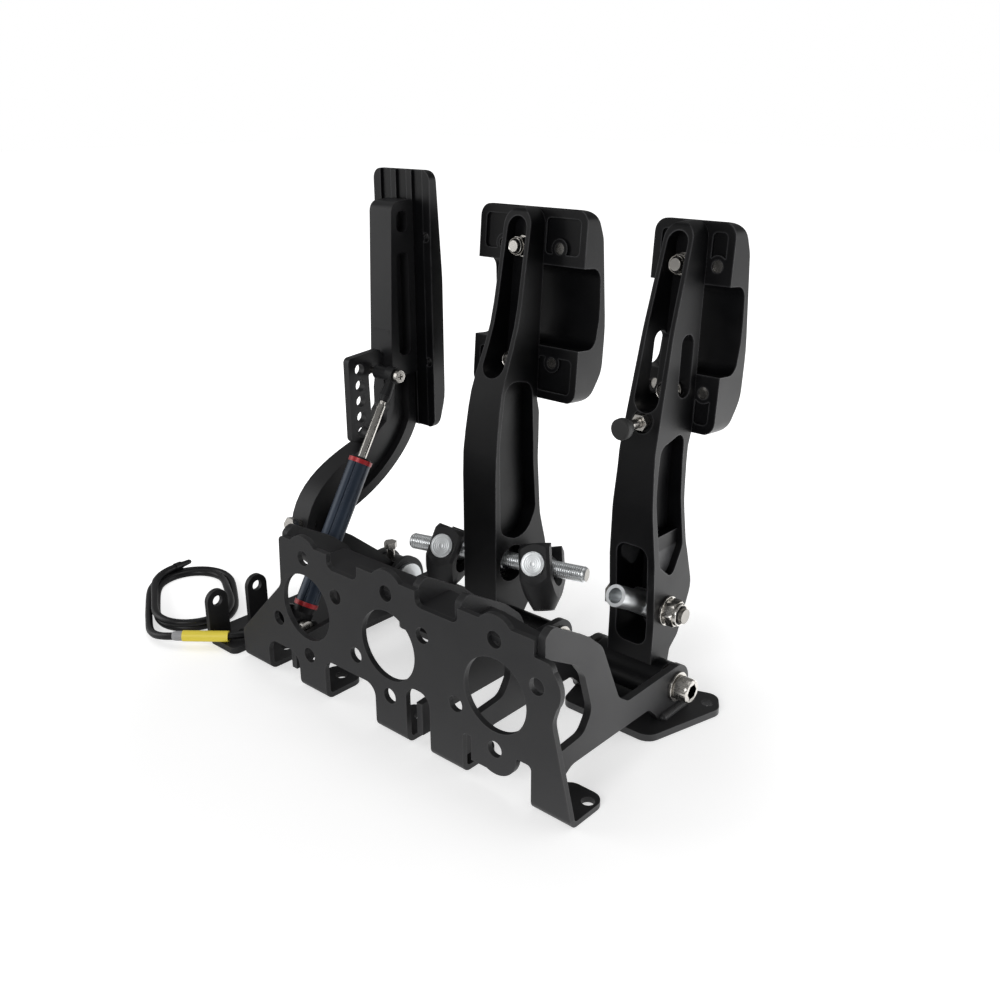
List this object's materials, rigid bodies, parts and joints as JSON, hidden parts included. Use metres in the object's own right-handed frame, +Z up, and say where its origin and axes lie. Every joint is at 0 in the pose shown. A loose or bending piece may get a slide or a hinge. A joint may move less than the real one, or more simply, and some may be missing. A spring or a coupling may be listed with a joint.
{
  "type": "pedal box",
  "caption": "Floor-mounted pedal box: folded cylinder plate, clutch and brake pedals on side plates, bias bar with clevises, and a hooked throttle pedal with a position sensor and coiled cable.",
  "frame": {"origin": "floor level, midway between the two outer bolt holes of the front feet", "axes": "+X from the throttle towards the clutch, +Y from the cylinder plate towards the driver, +Z up"},
  "size_m": [0.3723, 0.1915, 0.267],
  "materials": {
    "black_coat": "fine texture satin",
    "black_anodised": "satin anodised",
    "stainless": "turned",
    "zinc": "bright zinc plate",
    "bronze": "turned",
    "spring_steel": "oiled",
    "stop_rubber": "matte",
    "sensor_blue": "satin anodised",
    "sensor_red": "satin anodised",
    "sensor_black": "moulded",
    "cable_black": "smooth jacket",
    "sleeve_yellow": "satin"
  },
  "bodies": {
    "base": {"front_plate": "black_coat", "top_brace": "black_coat", "side_plates": "black_coat", "clutch_base_plate": "black_coat", "brake_base_plate": "black_coat", "throttle_base": "black_coat", "pivot_bolts": "stainless", "pivot_washers": "stainless", "pivot_nuts": "stainless", "throttle_pin": "zinc", "throttle_pin_nut": "zinc", "throttle_spring": "spring_steel", "sensor_bracket": "black_coat", "sensor_lower_bolt": "stainless", "sensor_cable": "cable_black", "cable_coil": "cable_black", "cable_sleeve": "sleeve_yellow"},
    "clutch_pedal": {"clutch_arm": "black_anodised", "clutch_bushes": "bronze", "clutch_pad": "black_anodised", "clutch_pad_bolts": "stainless", "clutch_pad_nuts": "stainless", "clutch_stop_screw": "stainless", "clutch_stop_nut": "stainless", "clutch_stop_rubber": "stop_rubber", "pushrod_bolt": "stainless", "pushrod_washers": "stainless", "pushrod_nut": "stainless"},
    "clutch_pushrod": {"pushrod_coupler": "zinc"},
    "brake_pedal": {"brake_arm": "black_anodised", "brake_bushes": "bronze", "brake_pad": "black_anodised", "brake_pad_bolts": "stainless", "brake_pad_nuts": "stainless", "bias_bearing_race": "stainless"},
    "bias_ball": {"bias_bearing_ball": "zinc"},
    "bias_rod": {"bias_bar": "zinc"},
    "left_trunnion": {"left_barrel": "zinc"},
    "right_trunnion": {"right_barrel": "zinc"},
    "left_fork": {"left_clevis": "black_coat"},
    "right_fork": {"right_clevis": "black_coat"},
    "throttle_pedal": {"throttle_arm": "black_anodised", "throttle_bushes": "bronze", "throttle_pad": "black_anodised", "throttle_pad_screws": "stainless", "throttle_stop_screw": "stainless", "throttle_return_screw": "stainless", "sensor_top_screw": "stainless"},
    "sensor_barrel": {"sensor_lower_cap": "sensor_black", "sensor_body": "sensor_blue", "sensor_rings": "sensor_red", "sensor_nose": "sensor_black"},
    "sensor_slider": {"sensor_rod": "stainless", "sensor_rod_collar": "stainless", "sensor_rod_end": "sensor_black"}
  },
  "joints": [
    {"name": "clutch_pivot", "type": "hinge", "parent": "base", "child": "clutch_pedal", "pos_m": [0.071, 0.0925, 0.0175], "axis": [1, 0, 0], "range_deg": [0, 20]},
    {"name": "pushrod_swing", "type": "hinge", "parent": "clutch_pedal", "child": "clutch_pushrod", "pos_m": [0.071, 0.0995, 0.0545], "axis": [1, 0, 0], "range_deg": [-10, 40]},
    {"name": "brake_pivot", "type": "hinge", "parent": "base", "child": "brake_pedal", "pos_m": [-0.03175, 0.0925, 0.0175], "axis": [1, 0, 0], "range_deg": [0, 12]},
    {"name": "bias_yaw", "type": "hinge", "parent": "brake_pedal", "child": "bias_ball", "pos_m": [-0.03175, 0.097, 0.0515], "axis": [0, 0, 1], "range_deg": [-30, 0]},
    {"name": "bias_spin", "type": "hinge", "parent": "bias_ball", "child": "bias_rod", "pos_m": [-0.03175, 0.097, 0.0515], "axis": [0.9659, 0.2588, 0], "continuous": true},
    {"name": "left_trunnion_swing", "type": "hinge", "parent": "bias_rod", "child": "left_trunnion", "pos_m": [-0.06024, 0.08936, 0.0515], "axis": [0.9659, 0.2588, 0], "range_deg": [-60, 0]},
    {"name": "left_fork_yaw", "type": "hinge", "parent": "left_trunnion", "child": "left_fork", "pos_m": [-0.06024, 0.08936, 0.0515], "axis": [-0.2306, 0.8606, -0.454], "range_deg": [-9, 0]},
    {"name": "right_trunnion_swing", "type": "hinge", "parent": "bias_rod", "child": "right_trunnion", "pos_m": [-0.00326, 0.10464, 0.0515], "axis": [0.9659, 0.2588, 0], "range_deg": [-60, 0]},
    {"name": "right_fork_yaw", "type": "hinge", "parent": "right_trunnion", "child": "right_fork", "pos_m": [-0.00326, 0.10464, 0.0515], "axis": [-0.2306, 0.8606, -0.454], "range_deg": [0, 15]},
    {"name": "throttle_pivot", "type": "hinge", "parent": "base", "child": "throttle_pedal", "pos_m": [-0.112, 0.088, 0.019], "axis": [1, 0, 0], "range_deg": [0, 16], "stiffness_Nm_per_rad": 2, "springref_deg": -28.65},
    {"name": "sensor_tilt", "type": "hinge", "parent": "base", "child": "sensor_barrel", "pos_m": [-0.092, -0.0045, 0.0256], "axis": [1, 0, 0], "range_deg": [0, 13]},
    {"name": "sensor_stroke", "type": "slide", "parent": "sensor_barrel", "child": "sensor_slider", "axis": [0, 0.5244, 0.8515], "range_m": [-0.025, 0]}
  ],
  "couplings": [
    {"joint": "sensor_tilt", "follows": "throttle_pivot", "ratio": 0.7592},
    {"joint": "sensor_stroke", "follows": "throttle_pivot", "m_per_rad": -0.086067}
  ]
}
